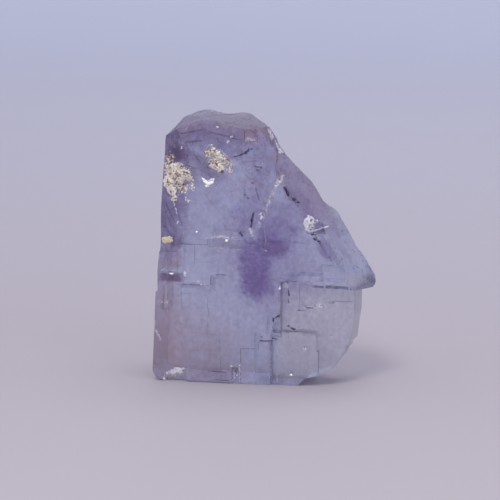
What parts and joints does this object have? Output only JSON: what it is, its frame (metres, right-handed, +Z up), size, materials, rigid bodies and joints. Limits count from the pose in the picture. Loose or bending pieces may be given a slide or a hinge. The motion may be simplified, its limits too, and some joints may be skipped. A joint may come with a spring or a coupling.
{
  "type": "fluorite specimen",
  "caption": "Cleaved purple-blue fluorite crystal with a stepped broad face, bevelled pointed side, broken top and small cream crusts of matrix.",
  "frame": {"origin": "middle of the foot of the specimen's bounding box, on the surface that it stands on", "axes": "+Z up, from the flat foot to the broken top; the stepped broad face looks towards -Y; the pointed side is at +X"},
  "size_m": [0.0286, 0.012, 0.0341],
  "materials": {
    "fluorite": "see-through purple-blue crystal, polished cleavage with broken edges",
    "matrix": "rough cream, grainy",
    "ochre": "rough ochre, grainy"
  },
  "bodies": {
    "root": {"fluorite_crystal": "fluorite", "matrix_crust_left": "matrix", "matrix_crust_upper": "matrix", "matrix_grain_ochre": "ochre"}
  },
  "joints": []
}
